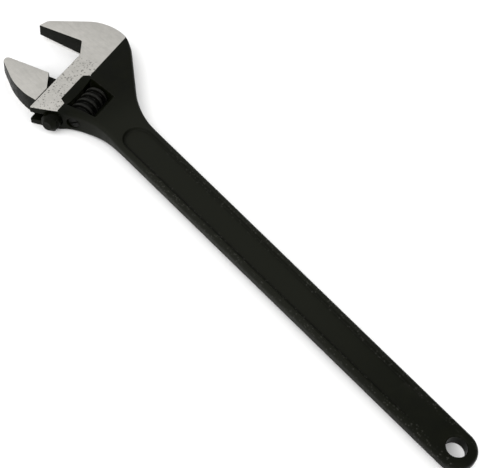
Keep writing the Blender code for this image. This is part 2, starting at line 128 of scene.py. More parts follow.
# Heights y of the points along the ground line, above and below the relief, and along the relief's end
GROUND_LINE_ABOVE = (25.5, 14, 0, -14, -28, -40.5)
GROUND_LINE_BELOW = (-89, -94, -99)
RELIEF_END_HEIGHTS = (-44.5, -50, -60, -70, -80, -87.5)

# Movable jaw
OPENING = 57.0 * MM
JAW_GAP = 0.4 * MM  # between the jaw and the bar, and between the slide's top and the jaw's clamping face
JAW_ROOT_THICKNESS = 19.8 * MM
MOVABLE_TIP_THICKNESS = 12.8 * MM
SLIDE_RADIUS = 9.0 * MM
SLIDE_LENGTH = 55.7 * MM
SLIDE_CHAMFER = 1.2 * MM
SLIDE_END_CHAMFER = 4.0 * MM
WEB_HALF = 4.5 * MM
WEB_LENGTH = 38.8 * MM
# The web's corners that lie inside the jaw
WEB_ROOT = ((-4.0, -38.8), (-18.0, -33.0), (-18.0, -0.4))

# Worm and rack
WORM_X = 40.6 * MM
WORM_RADIUS = 11.5 * MM
THREAD_DEPTH = 2.9 * MM
PITCH = 8.5 * MM
CREST_WIDTH = 2.2 * MM
FLANK = math.tan(math.radians(20))
WORM_FROM = 52.4 * MM  # distances below the fixed clamping face
WORM_TO = 86.3 * MM
THREAD_TOP = 54.2 * MM  # where a crest passes the upper side of the worm
THREAD_TURNS = range(-2, 6)  # counted from that crest, more than the worm's length holds
HUB_LENGTH = 1.2 * MM
HUB_RADIUS = 6.0 * MM
WORM_BORE = 3.35 * MM
SPRING_POCKET_RADIUS = 5.2 * MM
SPRING_POCKET_DEPTH = 9.0 * MM
RACK_DEPTH = 2.4 * MM
GROOVE_FLOOR = 3.4 * MM
GROOVE_OVERRUN = 1.0 * MM
RACK_LEAN = 0.12  # the grooves follow the worm's lead

# Pin and spring
PIN_RADIUS = 3.0 * MM
PIN_FROM = 37.0 * MM
PIN_HOLE = 3.3 * MM
PIN_CHAMFER = 0.5 * MM
PIN_SIDES = 64
SCREW_SEAT = 90.5 * MM
SCREW_RADIUS = 5.9 * MM
SCREW_RECESS = 6.3 * MM
SCREW_TOP = 95.4 * MM
SLOT_WIDTH = 1.6 * MM
SLOT_DEPTH = 1.9 * MM
SLOT_TURN = math.radians(35)
SPRING_RADIUS = 4.2 * MM
WIRE_RADIUS = 0.55 * MM
WIRE_SIDES = 14
SPRING_TURNS = 4.5
SPRING_STEPS = 48  # per turn
GAP = 0.3 * MM

# Fineness
ARC_STEP = math.radians(3)
EDGE_STEP = 3 * MM
ROUND_STEPS = 6
GRID = 3.2 * MM
GRID_GAP = 1.7 * MM
ROUND_SIDES = 96
WORM_SIDES = 144
PANEL_WALL_STEPS = 5
PANEL_STATIONS = 150
PANEL_END_STEPS = 32
SMOOTH_ANGLE = math.radians(32)
CUTTER_REACH = 40 * MM
SLOT_REACH = 20 * MM
HOLE_REACH = 10 * MM
TINY = 1e-7
FLAT = 0.98  # upright share of a normal that counts as a flat face's
FACE_TOLERANCE = 0.12 * MM
BEVEL_SAMPLES = 6

# Where the looks change, in millimetres of the CAD part's frame. Of a pair, the first is where a look starts
# and the second where it is full
HEAD_X = (math.cos(HEAD_ANGLE), math.sin(HEAD_ANGLE), 0)
HEAD_Y = (-math.sin(HEAD_ANGLE), math.cos(HEAD_ANGLE), 0)
HANDLE_Y = -6.7  # the handle's axis
# The handle is painted lighter from the neck on, fading out towards the hang hole
LIGHTER_HANDLE_START = (-185, -135)
LIGHTER_HANDLE_END = (320, 90)
PANEL_ROUND_X = -116.5  # centre of the panel's round end
PANEL_HALF_WIDTH = 15.1  # at x = 0
PANEL_NARROWING = 0.00825  # of that half width, per millimetre of x
# Painted shade along the wall of the handle's recessed panel
SHADE_START = (-0.2, 0.8)  # inwards from the panel's edge
SHADE_END = (5.2, 2.2)
SHADE_RUNS_OUT = (255, 220)
SHADE_SIDES = (6, -6, 0.35, 0.8)  # two offsets from the axis, and the strength of the shade at each
CHIP_SPACING = 2.2
CHIPPED_FROM = (9, 12)  # from the handle's axis
CHIPPED_START = (-110, -70)
CHIP_STRENGTH = 0.5
WORM_ACROSS = -177.6  # the pin's axis, measured along HEAD_X
CREST_RADII = (10.2, 11.5)
PIT_SPACING = 2.6
PITTED_FROM = (108, 96)  # measured along HEAD_Y
BAR_PITS = 0.85  # strength of the pits
OXIDE_EDGE = 0.45  # how far from an edge the wear and the painted highlight reach
# How far from an edge the steel's rounded normal and its painted warm reflection reach
STEEL_EDGE = 0.3

# Looks. A black is its dark, light and worn colours, the worn one also a painted highlight along the edges;
# a grain is the coarseness of the mottling and the depth of the bumps in millimetres
FORGED_BLACK = ((0.0008, 0.0012, 0.0001), (0.0020, 0.0024, 0.0004), (0.036, 0.036, 0.031))
JAW_BLACK = ((0.0010, 0.0012, 0.0004), (0.0028, 0.0030, 0.0012), (0.022, 0.022, 0.018))
# The worm's worn colour is set light, so that its edges also carry a painted highlight on the crests
TURNED_BLACK = ((0.0010, 0.0010, 0.0008), (0.0025, 0.0025, 0.0020), (0.085, 0.085, 0.075))
SCREW_BLACK = ((0.0030, 0.0030, 0.0026), (0.006, 0.006, 0.005), (0.022, 0.022, 0.018))
# Lighter black along the handle, fading out towards the hang hole
LIGHTER_HANDLE_BLACK = (0.0058, 0.0064, 0.0040)
# The painted highlight on the worm's crests
CREST_HIGHLIGHT_GREY = (0.0085, 0.0085, 0.0075)
FORGED_GRAIN = (1.0, 0.05)
TURNED_GRAIN = (0.5, 0.02)
STEEL = (0.735, 0.716, 0.672)
STEEL_STREAK = (0.6, 0.586, 0.547)
STEEL_SPECK = (0.2, 0.19, 0.165)
STEEL_PIT = (0.13, 0.125, 0.11)
STEEL_RIM_REFLECTION = (0.5, 0.44, 0.33)
WIRE = (0.36, 0.355, 0.34)
WIRE_STREAK = (0.22, 0.215, 0.2)
PAPER = (0.93, 0.93, 0.925)
PAPER_SHADE = (0.9, 0.9, 0.9)

# Stage, in metres and watts
CAMERA_AT = Vector((0.4073, -0.4187, 0.7082))
CAMERA_AIM = Vector((0.0319, 0.0109, 0.0117))
CAMERA_ROLL = math.radians(9.59)
LENS = 72.2
SENSOR_WIDTH = 36
SHIFT = (-0.0112, -0.0016)
CLIP = (0.05, 20)
KEY_LIGHT = ((0.1, -1.3, 1.3), 2.0, 25)  # place, size, power
SIDE_LIGHT = ((1.3, 0.9, 0.8), 0.8, 14)
SKY_TOWARDS = (0.1, -0.7, 0.7)  # where the soft light of the studio is brightest
SKY_STRENGTH = (0.1, 1.25)  # on the dark side and on the bright side
FLOOR_SIZE = 3
FLOOR_DROP = 0.2 * MM  # below the wrench


def along(distance, offset):
    """Point in the head's frame: distance from the hang hole towards the head, offset to the back."""
    run = HEAD_TO_HOLE - distance
    c, s = math.cos(HEAD_ANGLE), math.sin(HEAD_ANGLE)
    return run * c + offset * s, AXIS_Y - run * s + offset * c


def handle_place(x, y):
    """Inverse of along(): distance from the hang hole and offset."""
    c, s = math.cos(HEAD_ANGLE), math.sin(HEAD_ANGLE)
    dy = y - AXIS_Y
    return HEAD_TO_HOLE - (x * c - dy * s), x * s + dy * c


def half_width(distance):
    return HALF_WIDTH_END + distance / WIDTH_LENGTH * (HALF_WIDTH_HEAD - HALF_WIDTH_END)


def smooth(value, low, high):
    """0 at low, 1 at high, with level ends. low may be above high."""
    t = min(1.0, max(0.0, (value - low) / (high - low)))
    return t * t * (3 - 2 * t)


def rounded(corners):
    """Closed outline from corners (x, y, radius): each corner becomes an arc, each straight is divided."""
    count = len(corners)
    arcs = []
    for i, (x, y, radius) in enumerate(corners):
        here = Vector((x, y))
        before = (Vector(corners[i - 1][:2]) - here).normalized()
        after = (Vector(corners[(i + 1) % count][:2]) - here).normalized()
        turn = math.pi - before.angle(after)
        reach = radius * math.tan(turn / 2)
        centre = here + (before + after).normalized() * (radius / math.cos(turn / 2))
        start = here + before * reach - centre
        steps = max(1, round(turn / ARC_STEP), math.ceil(turn * radius / EDGE_STEP))
        step = (turn if before.cross(after) < 0 else -turn) / steps
        arcs.append([centre + Matrix.Rotation(k * step, 2) @ start for k in range(steps + 1)])
    points = []
    for i, arc in enumerate(arcs):
        points += arc
        end, start = arc[-1], arcs[(i + 1) % count][0]
        pieces = max(1, math.ceil((start - end).length / EDGE_STEP))
        points += [end.lerp(start, k / pieces) for k in range(1, pieces)]
    return points


def inward(points):
    """Unit normals of a counter-clockwise outline, pointing inside."""
    normals = []
    for i, point in enumerate(points):
        a = (point - points[i - 1]).normalized()
        b = (points[(i + 1) % len(points)] - point).normalized()
        middle = (a + b).normalized()
        normals.append(Vector((-middle.y, middle.x)) / max(0.5, middle.dot(a)))
    return normals


def inside(x, y, polygon):
    hit = False
    for i, (x1, y1) in enumerate(polygon):
        x0, y0 = polygon[i - 1]
        if (y0 > y) != (y1 > y) and x < x0 + (y - y0) * (x1 - x0) / (y1 - y0):
            hit = not hit
    return hit


def distance_to(x, y, a, b):
    point, start, end = Vector((x, y)), Vector(a), Vector(b)
    run = end - start
    t = min(1.0, max(0.0, (point - start).dot(run) / run.length_squared))
    return (start + run * t - point).length


def in_metres(corners):
    return [tuple(value * MM for value in corner) for corner in corners]


# ---------------------------------------------------------------- mesh helpers


def add_object(name, mesh, location=(0, 0, 0), rotation=(0, 0, 0)):
    made = bpy.data.objects.new(name, mesh)
    bpy.context.scene.collection.objects.link(made)
    made.location = location
    made.rotation_euler = rotation
    return made


def mesh_from(name, shape):
    bmesh.ops.recalc_face_normals(shape, faces=shape.faces)
    mesh = bpy.data.meshes.new(name)
    shape.to_mesh(mesh)
    shape.free()
    return mesh


def use(target, name, shape, operation, location=(0, 0, 0), rotation=(0, 0, 0)):
    """Cuts a shape from the target, or joins it."""
    tool = add_object(name, mesh_from(name, shape), location, rotation)
    modifier = target.modifiers.new(name, "BOOLEAN")
    modifier.operation = operation
    modifier.solver = "EXACT"
    modifier.object = tool
    bpy.context.view_layer.update()
    graph = bpy.context.evaluated_depsgraph_get()
    made = bpy.data.meshes.new_from_object(target.evaluated_get(graph))
    target.modifiers.clear()
    target.data = made
    bpy.data.objects.remove(tool, do_unlink=True)


def plate(outline, extra, links, height, rounding):
    """A plate, mirrored about z = 0, with top height(x, y) and its edge rounded by rounding(x, y)."""
    shape = bmesh.new()
    normals = inward(outline)
    rounds = [rounding(p.x, p.y) for p in outline]
    inner = [p + n * r for p, n, r in zip(outline, normals, rounds)]
    tops = [height(p.x, p.y) for p in inner]

    def ring(sign, angle):
        made = []
        for p, n, r, top in zip(outline, normals, rounds, tops):
            at = p + n * r * (1 - math.cos(angle))
            made.append(shape.verts.new((at.x, at.y, sign * (top - r * (1 - math.sin(angle))))))
        return made

    angles = [math.pi / 2 * k / ROUND_STEPS for k in range(ROUND_STEPS + 1)]
    rings = [ring(1, angle) for angle in reversed(angles)] + [ring(-1, angle) for angle in angles]
    count = len(outline)
    for first, second in zip(rings, rings[1:]):
        for i in range(count):
            k = (i + 1) % count
            shape.faces.new((first[i], first[k], second[k], second[i]))

    flat = inner + [Vector(p) for p in extra]
    links = [(a + count, b + count) for a, b in links]
    found, _, faces, origins, _, _ = geometry.delaunay_2d_cdt(flat, links, [list(range(count))], 1, TINY)
    above, below = [], []
    for point, sources in zip(found, origins):
        source = min(sources) if sources else count
        if source < count:
            above.append(rings[0][source])
            below.append(rings[-1][source])
        else:
            top = height(point.x, point.y)
            above.append(shape.verts.new((point.x, point.y, top)))
            below.append(shape.verts.new((point.x, point.y, -top)))
    for face in faces:
        shape.faces.new([above[i] for i in face])
        shape.faces.new([below[i] for i in reversed(face)])
    return shape


def loft(sections):
    """Solid through sections (z, polygon), whose polygons have the same number of corners."""
    shape = bmesh.new()
    rings = [[shape.verts.new((x, y, z)) for x, y in polygon] for z, polygon in sections]
    for a, b in zip(rings, rings[1:]):
        for i in range(len(a)):
            k = (i + 1) % len(a)
            shape.faces.new((a[i], a[k], b[k], b[i]))
    shape.faces.new(rings[0][::-1])
    shape.faces.new(rings[-1])
    return shape


def prism(polygon, low, high):
    return loft(((low, polygon), (high, polygon)))


def turned(profile, sides=ROUND_SIDES):
    """Solid of revolution about z from (radius, z) points that start and end on the axis."""
    shape = bmesh.new()
    rings = []
    for radius, z in profile:
        if radius == 0:
            rings.append([shape.verts.new((0, 0, z))] * sides)
            continue
        ring = []
        for k in range(sides):
            angle = 2 * math.pi * k / sides
            ring.append(shape.verts.new((radius * math.cos(angle), radius * math.sin(angle), z)))
        rings.append(ring)
    for a, b in zip(rings, rings[1:]):
        for i in range(sides):
            k = (i + 1) % sides
            shape.faces.new(dict.fromkeys((a[i], a[k], b[k], b[i])))
    return shape


def swept(section, path):
    """Solid from a closed section carried along a path of 4 x 4 frames, with filled ends."""
    shape = bmesh.new()
    rings = [[shape.verts.new(frame @ Vector((a, b, 0))) for a, b in section] for frame in path]
    for first, second in zip(rings, rings[1:]):
        for i in range(len(section)):
            k = (i + 1) % len(section)
            shape.faces.new((first[i], first[k], second[k], second[i]))
    shape.faces.new(rings[0][::-1])
    shape.faces.new(rings[-1])
    bmesh.ops.triangulate(shape, faces=shape.faces)
    return shape


def body_outline():
    """Counter-clockwise: from the fixed jaw's tip down the bar, round the handle, back over the head."""
    cap = HALF_WIDTH_END
    corners = in_metres(
        (
            (-JAW_REACH / MM, 0, 0.8),
            (-10.2, 0, 2.5),
            (0, -19.5, 8),
            (0, -108.8, 1.5),
            (25.5, -101.2, 60),
            (46, -94.1, 50),
            (71.6, -93.8, 70),
        )
    )
    corners += [(*along(-cap, side * cap), cap * CAP_ROUND) for side in (-1, 1)]
    corners += in_metres(((88.2, -54.6, 80), (26.4, 34.8, 52), (-12.8, 34.8, 40), (-57.6, 10.8, 6)))
    return rounded(corners)


def panel_share(distance, offset):
    """1 on the floor of the handle's recessed panel, 0 outside it."""
    limit = half_width(distance) - PANEL_RIM
    edge = limit - abs(offset)
    short = PANEL_FROM - distance
    if short < limit:
        edge = limit - math.hypot(offset, limit - short)
    return smooth(edge, 0, PANEL_WALL) * smooth(distance, PANEL_TO, PANEL_TO + PANEL_FADE)


def body_height(x, y):
    """Half thickness of the body at a point."""
    relief = in_metres(RELIEF)
    if inside(x, y, relief):
        edge = min(distance_to(x, y, a, b) for a, b in zip(relief, relief[1:]))
        return MID - TAPER * max(0, GROUND_LINE - x) - RELIEF_SLOPE * edge
    if x > GROUND_LINE:
        distance, offset = handle_place(x, y)
        neck = smooth(distance, NECK_FROM, NECK_TO)
        return MID + (HANDLE_THICKNESS / 2 - MID) * neck - PANEL_DEPTH * panel_share(distance, offset)
    return MID - TAPER * (GROUND_LINE - x)


def body_rounding(x, y):
    share = smooth(x, GROUND_LINE - EDGE_BLEND_START, GROUND_LINE + EDGE_BLEND)
    return CRISP_ROUND + (EDGE_ROUND - CRISP_ROUND) * share


def body_points(outline):
    """Interior points of the body's faces, and the creases that join them."""
    points, links = [], []

    def crease(run):
        start = len(points)
        points.extend(run)
        links.extend((i, i + 1) for i in range(start, len(points) - 1))

    crease([(GROUND_LINE, y * MM) for y in GROUND_LINE_ABOVE])
    crease([(GROUND_LINE, y * MM) for y in GROUND_LINE_BELOW])
    crease(in_metres(RELIEF))
    crease([(RELIEF_END, y * MM) for y in RELIEF_END_HEIGHTS])
    for inset in (PANEL_RIM + PANEL_WALL * k / PANEL_WALL_STEPS for k in range(PANEL_WALL_STEPS + 1)):
        limit = half_width(PANEL_FROM) - PANEL_RIM
        first = PANEL_FROM - limit
        for side in (-1, 1):
            run = []
            for k in range(1, PANEL_STATIONS):
                distance = first + (PANEL_TO - first) * k / PANEL_STATIONS
                run.append(along(distance, side * (half_width(distance) - inset)))
            crease(run)
        reach = limit + PANEL_RIM - inset
        run = []
        for k in range(PANEL_END_STEPS + 1):
            angle = math.pi * (k / PANEL_END_STEPS - 0.5)
            run.append(along(first + reach * math.cos(angle), reach * math.sin(angle)))
        crease(run)

    # The neck, between the head and the handle, needs points of its own for its slope
    sides = list(zip(outline, outline[1:])) + [(points[a], points[b]) for a, b in links]
    across = math.ceil(2 * HALF_WIDTH_HEAD / GRID)
    for i in range(math.ceil((NECK_FROM - NECK_TO) / GRID)):
        for j in range(-across, across + 1):
            x, y = along(NECK_FROM - i * GRID, j * GRID)
            if inside(x, y, outline) and min(distance_to(x, y, a, b) for a, b in sides) > GRID_GAP:
                points.append((x, y))
    return points, links


def make_body():
    outline = body_outline()
    shape = plate(outline, *body_points(outline), body_height, body_rounding)
    body = add_object("forging", mesh_from("forging", shape), (0, 0, MID))
    down = (math.pi / 2, 0, 0)

    rim, throat = in_metres(WINDOW), in_metres(WINDOW_THROAT)
    upper = ((MID - WINDOW_SLOPE, throat), (MID, rim), (CUTTER_REACH, rim))
    lower = [(-z, polygon) for z, polygon in reversed(upper)]
    use(body, "window_cutter", loft((*lower, *upper)), "DIFFERENCE", (0, 0, MID))

    bore = turned(((0, BORE_TOP), (BORE_RADIUS, BORE_TOP), (BORE_RADIUS, BORE_LENGTH), (0, BORE_LENGTH)))
    use(body, "bore_cutter", bore, "DIFFERENCE", (BORE_X, 0, MID), down)

    left = -SLOT_REACH
    slot = ((left, -SLOT_END), (BORE_X, -SLOT_END), (BORE_X, -BORE_LENGTH), (left, -BORE_LENGTH))
    use(body, "slot_cutter", prism(slot, -SLOT_HALF, SLOT_HALF), "DIFFERENCE", (0, 0, MID))

    start = PIN_FROM - GAP
    pin_hole = (
        (0, start),
        (PIN_HOLE, start),
        (PIN_HOLE, SCREW_SEAT),
        (SCREW_RECESS, SCREW_SEAT),
        (SCREW_RECESS, BORE_LENGTH),
        (0, BORE_LENGTH),
    )
    use(body, "pin_cutter", turned(pin_hole, PIN_SIDES), "DIFFERENCE", (WORM_X, 0, MID), down)

    half, wide = HANDLE_THICKNESS / 2, HOLE_RADIUS + HOLE_CHAMFER
    hole = (
        (0, -half - HOLE_REACH),
        (wide + HOLE_REACH, -half - HOLE_REACH),
        (wide, -half),
        (HOLE_RADIUS, HOLE_CHAMFER - half),
        (HOLE_RADIUS, half - HOLE_CHAMFER),
        (wide, half),
        (wide + HOLE_REACH, half + HOLE_REACH),
        (0, half + HOLE_REACH),
    )
    use(body, "hole_cutter", turned(hole), "DIFFERENCE", (*along(0, 0), MID))
    return body


def jaw_height(x, _y):
    """Half thickness; x is measured from the slide's axis."""
    share = -(x + BORE_X) / JAW_REACH
    return (JAW_ROOT_THICKNESS + (MOVABLE_TIP_THICKNESS - JAW_ROOT_THICKNESS) * share) / 2


def rack_cutter():
    """The grooves that the worm's thread runs in, each a leaning trapezium across the slide."""
    shape = bmesh.new()
    floor, beyond = SLIDE_RADIUS - RACK_DEPTH, SLIDE_RADIUS + GROOVE_OVERRUN
    narrow = GROOVE_FLOOR / 2
    wide = narrow + (beyond - floor) * FLANK
    first = THREAD_TOP + PITCH / 4 - OPENING
    for n in range(math.ceil((SLIDE_LENGTH - first) / PITCH)):
        rings = []
        for z in (-SLIDE_RADIUS, SLIDE_RADIUS):
            at = RACK_LEAN * z - first - n * PITCH
            plan = ((floor, at - narrow), (beyond, at - wide), (beyond, at + wide), (floor, at + narrow))
            rings.append([shape.verts.new((x, y, z)) for x, y in plan])
        for i in range(4):
            k = (i + 1) % 4
            shape.faces.new((rings[0][i], rings[0][k], rings[1][k], rings[1][i]))
        shape.faces.new(rings[0][::-1])
        shape.faces.new(rings[1])
    return shape


def make_jaw():
    """Its origin is on the slide's axis, in the plane of its clamping face."""
    origin = (BORE_X, -OPENING, MID)
    edge = -JAW_GAP / MM
    corners = in_metres(
        (
            (edge, -20.3, 1),
            (-11.5, 0, 1.5),
            (-61.3, 0, 3.5),
            (-60.8, -7.5, 8),
            (-34, -29.4, 70),
            (-14, -37.8, 60),
            (edge, -40.2, 0.6),
        )
    )
    outline = rounded([(x - BORE_X, y, r) for x, y, r in corners])
    shape = plate(outline, [], [], jaw_height, lambda x, y: CRISP_ROUND)
    jaw = add_object("jaw_forging", mesh_from("jaw_forging", shape), origin)

    web = [(0, -JAW_GAP), (0, -WEB_LENGTH)] + [(x - BORE_X, y) for x, y in in_metres(WEB_ROOT)]
    use(jaw, "web_piece", prism(web, -WEB_HALF, WEB_HALF), "UNION", origin)

    top, end = JAW_GAP, SLIDE_LENGTH
    profile = (
        (0, top),
        (SLIDE_RADIUS - SLIDE_CHAMFER, top),
        (SLIDE_RADIUS, top + SLIDE_CHAMFER),
        (SLIDE_RADIUS, end - SLIDE_END_CHAMFER),
        (SLIDE_RADIUS - SLIDE_END_CHAMFER, end),
        (0, end),
    )
    use(jaw, "slide_piece", turned(profile), "UNION", origin, (math.pi / 2, 0, 0))
    use(jaw, "rack_cutter", rack_cutter(), "DIFFERENCE", origin)
    return jaw


def helix(radius, pitch, start):
    """Frames along the spring: local x points away from the axis, local y along it."""
    frames = []
    for k in range(round(SPRING_TURNS * SPRING_STEPS) + 1):
        turns = k / SPRING_STEPS
        out = Vector((math.cos(2 * math.pi * turns), math.sin(2 * math.pi * turns), 0))
        frame = Matrix((out, (0, 0, 1), out.cross((0, 0, 1)))).transposed().to_4x4()
        frame.translation = out * radius + Vector((0, 0, start + pitch * turns))
        frames.append(frame)
    return frames


def thread_radius(z, angle):
    """Radius of the threaded surface at height z and the given angle."""
    crest = THREAD_TOP + PITCH * (angle / (2 * math.pi) - 0.25)
    away = abs((z - crest + PITCH / 2) % PITCH - PITCH / 2)
    depth = min(THREAD_DEPTH, max(0, (away - CREST_WIDTH / 2) / FLANK))
    return WORM_RADIUS - depth


def worm_column(angle):
    """Closed profile (radius, z) of the worm at one angle; the thread's corners climb with the angle."""
    top, pocket = WORM_FROM - HUB_LENGTH, WORM_TO - SPRING_POCKET_DEPTH
    half_crest, half_base = CREST_WIDTH / 2, CREST_WIDTH / 2 + THREAD_DEPTH * FLANK
    column = [(WORM_BORE, top), (HUB_RADIUS, top), (HUB_RADIUS, WORM_FROM)]
    for turn in THREAD_TURNS:
        crest = THREAD_TOP + PITCH * (turn + angle / (2 * math.pi) - 0.25)
        for z in (crest - half_base, crest - half_crest, crest + half_crest, crest + half_base):
            z = min(WORM_TO, max(WORM_FROM, z))
            column.append((thread_radius(z, angle), z))
    return column + [(SPRING_POCKET_RADIUS, WORM_TO), (SPRING_POCKET_RADIUS, pocket), (WORM_BORE, pocket)]


def make_worm():
    """Its origin is on the pin's axis, level with the fixed clamping face; its own z runs down the axis."""
    shape = bmesh.new()
    columns = []
    for k in range(WORM_SIDES + 1):
        angle = 2 * math.pi * k / WORM_SIDES
        across = Vector((math.cos(angle), math.sin(angle)))
        columns.append([shape.verts.new((*(across * r), z)) for r, z in worm_column(angle)])
    for first, second in zip(columns, columns[1:]):
        for i in range(len(first)):
            shape.faces.new((first[i - 1], first[i], second[i], second[i - 1]))
    bmesh.ops.remove_doubles(shape, verts=shape.verts, dist=TINY)
    bmesh.ops.triangulate(shape, faces=shape.faces)
    return add_object("worm_screw", mesh_from("worm_screw", shape), (WORM_X, 0, MID), (math.pi / 2, 0, 0))


def make_pin():
    """Screw pin: a plain shaft through the worm and a slotted end in the body's lower side."""
    profile = (
        (0, PIN_FROM),
        (PIN_RADIUS - PIN_CHAMFER, PIN_FROM),
        (PIN_RADIUS, PIN_FROM + PIN_CHAMFER),
        (PIN_RADIUS, SCREW_SEAT + GAP),
        (SCREW_RADIUS, SCREW_SEAT + GAP),
        (SCREW_RADIUS, SCREW_TOP - PIN_CHAMFER),
        (SCREW_RADIUS - PIN_CHAMFER, SCREW_TOP),
        (0, SCREW_TOP),
    )
    place = ((WORM_X, 0, MID), (math.pi / 2, 0, 0))
    pin = add_object("pin_screw", mesh_from("pin_screw", turned(profile, PIN_SIDES)), *place)
    half, wide = SLOT_WIDTH / 2, 2 * SCREW_RADIUS
    plan = ((-wide, -half), (wide, -half), (wide, half), (-wide, half))
    slot = prism(plan, SCREW_TOP - SLOT_DEPTH, SCREW_TOP + SLOT_DEPTH)
    slot.transform(Matrix.Rotation(SLOT_TURN, 4, "Z"))
    use(pin, "driver_slot_cutter", slot, "DIFFERENCE", *place)
    return pin


def make_spring():
    """Coil round the pin, in the worm's pocket, between the worm and the lower side of the window."""
    first = WORM_TO - SPRING_POCKET_DEPTH + GAP + WIRE_RADIUS
    last = -WINDOW_THROAT[-1][1] * MM - GAP - WIRE_RADIUS
    turns = [2 * math.pi * k / WIRE_SIDES for k in range(WIRE_SIDES)]
    section = [(WIRE_RADIUS * math.cos(turn), WIRE_RADIUS * math.sin(turn)) for turn in turns]
    path = helix(SPRING_RADIUS, (last - first) / SPRING_TURNS, first)
    mesh = mesh_from("coil_spring", swept(section, path))
    return add_object("coil_spring", mesh, (WORM_X, 0, MID), (math.pi / 2, 0, 0))


# ---------------------------------------------------------------- materials


class Nodes:
    """A material's node tree, with short calls for the nodes used here. Lengths are in millimetres."""

    def __init__(self, name):
        self.material = bpy.data.materials.new(name)
        self.material.use_nodes = True
        self.tree = self.material.node_tree
        self.shader = self.tree.nodes["Principled BSDF"]
        place = self.tree.nodes.new("ShaderNodeTexCoord").outputs["Object"]
        self.place = self.vector("MULTIPLY", place, (1 / MM, 1 / MM, 1 / MM))

    def put(self, socket, value):
        if isinstance(value, bpy.types.NodeSocket):
            self.tree.links.new(value, socket)
        elif isinstance(value, tuple) and socket.type == "RGBA":
            socket.default_value = (*value, 1)
        else:
            socket.default_value = value

    def vector(self, operation, a, b):
        node = self.tree.nodes.new("ShaderNodeVectorMath")
        node.operation = operation
        self.put(node.inputs[0], a)
        self.put(node.inputs[1], b)
        return node.outputs["Value" if operation == "DOT_PRODUCT" else "Vector"]

    def math(self, operation, a, b=0.0):
        node = self.tree.nodes.new("ShaderNodeMath")
        node.operation = operation
        self.put(node.inputs[0], a)
        self.put(node.inputs[1], b)
        return node.outputs[0]

    def measured(self, direction):
        """How far a point lies along a direction."""
        return self.vector("DOT_PRODUCT", self.place, direction)

    def product(self, first, *others):
        for other in others:
            first = self.math("MULTIPLY", first, other)
        return first

    def weighted(self, *pairs):
        """Sum of values times their weights."""
        total = self.product(*pairs[0])
        for pair in pairs[1:]:
            total = self.math("ADD", total, self.product(*pair))
        return total

    def hypotenuse(self, a, b):
        return self.math("SQRT", self.math("ADD", self.product(a, a), self.product(b, b)))

    def stretched(self, *scale):
        """Place for a texture, drawn out along the axes whose scale is small."""
        node = self.tree.nodes.new("ShaderNodeMapping")
        self.put(node.inputs["Vector"], self.place)
        node.inputs["Scale"].default_value = scale
        return node.outputs[0]

    def noise(self, size, detail=3.0, roughness=0.55, place=None):
        node = self.tree.nodes.new("ShaderNodeTexNoise")
        self.put(node.inputs["Vector"], place or self.place)
        node.inputs["Scale"].default_value = 1 / size
        node.inputs["Detail"].default_value = detail
        node.inputs["Roughness"].default_value = roughness
        return node.outputs["Fac"]

    def cells(self, size):
        node = self.tree.nodes.new("ShaderNodeTexVoronoi")
        self.put(node.inputs["Vector"], self.place)
        node.inputs["Scale"].default_value = 1 / size
        return node.outputs["Distance"]

    def ramp(self, value, low, high, start=0.0, end=1.0):
        node = self.tree.nodes.new("ShaderNodeMapRange")
        node.interpolation_type = "SMOOTHSTEP"
        for socket, given in zip(node.inputs, (value, low, high, start, end)):
            self.put(socket, given)
        return node.outputs[0]

    def mix(self, share, a, b):
        node = self.tree.nodes.new("ShaderNodeMix")
        node.data_type = "RGBA"
        self.put(node.inputs["Factor"], share)
        self.put(node.inputs["A"], a)
        self.put(node.inputs["B"], b)
        return node.outputs["Result"]

    def edges(self, radius):
        """(rounded normal, how close an edge is from 0 to 1)"""
        bevel = self.tree.nodes.new("ShaderNodeBevel")
        bevel.samples = BEVEL_SAMPLES
        bevel.inputs["Radius"].default_value = radius * MM
        geometry_node = self.tree.nodes.new("ShaderNodeNewGeometry")
        same = self.vector("DOT_PRODUCT", bevel.outputs[0], geometry_node.outputs["True Normal"])
        return bevel.outputs[0], self.ramp(same, 0.995, 0.86)

    def bump(self, height, depth, normal=None):
        node = self.tree.nodes.new("ShaderNodeBump")
        node.inputs["Strength"].default_value = 1
        node.inputs["Distance"].default_value = depth * MM
        self.put(node.inputs["Height"], height)
        if normal is not None:
            self.put(node.inputs["Normal"], normal)
        return node.outputs[0]

    def finish(self, colour, roughness, normal, metallic=0.0, specular=0.5):
        self.put(self.shader.inputs["Base Color"], colour)
        self.put(self.shader.inputs["Roughness"], roughness)
        self.put(self.shader.inputs["Normal"], normal)
        self.shader.inputs["Metallic"].default_value = metallic
        self.shader.inputs["Specular IOR Level"].default_value = specular
        return self.material


def black_oxide(name, colours, rough, grain, specular=0.08, look=None):
    """Black oxide over a forged or turned surface: mottled, slightly rough, lighter along the edges as
    rubbed oxide and as a painted highlight.

    look(nodes, colour) changes the colour of some regions of the piece."""
    n = Nodes(name)
    dark, light, worn = colours
    coarse, depth = grain
    tone = n.weighted((n.noise(14 * coarse, 4), 0.6), (n.noise(0.9 * coarse, 4, 0.65), 0.4))
    colour = n.mix(n.ramp(tone, 0.36, 0.66), dark, light)
    if look:
        colour = look(n, colour)
    rounded_normal, edge = n.edges(OXIDE_EDGE)
    # Lighter along the edges: rubbed oxide, and a painted highlight as well
    rubbed_and_highlight = n.product(edge, n.ramp(n.noise(5 * coarse, 4, 0.7), 0.38, 0.68))
    colour = n.mix(n.product(rubbed_and_highlight, 0.8), colour, worn)
    pits = n.ramp(n.cells(1.7 * coarse), 0.0, 0.5)
    height = n.weighted((n.noise(1.4 * coarse, 5, 0.6), 1.0), (pits, 0.3))
    patches = n.ramp(n.noise(6 * coarse, 4), 0.3, 0.7, rough - 0.07, rough + 0.09)
    roughness = n.weighted((patches, 1.0), (rubbed_and_highlight, -0.1))
    return n.finish(colour, roughness, n.bump(height, depth, rounded_normal), 0.0, specular)


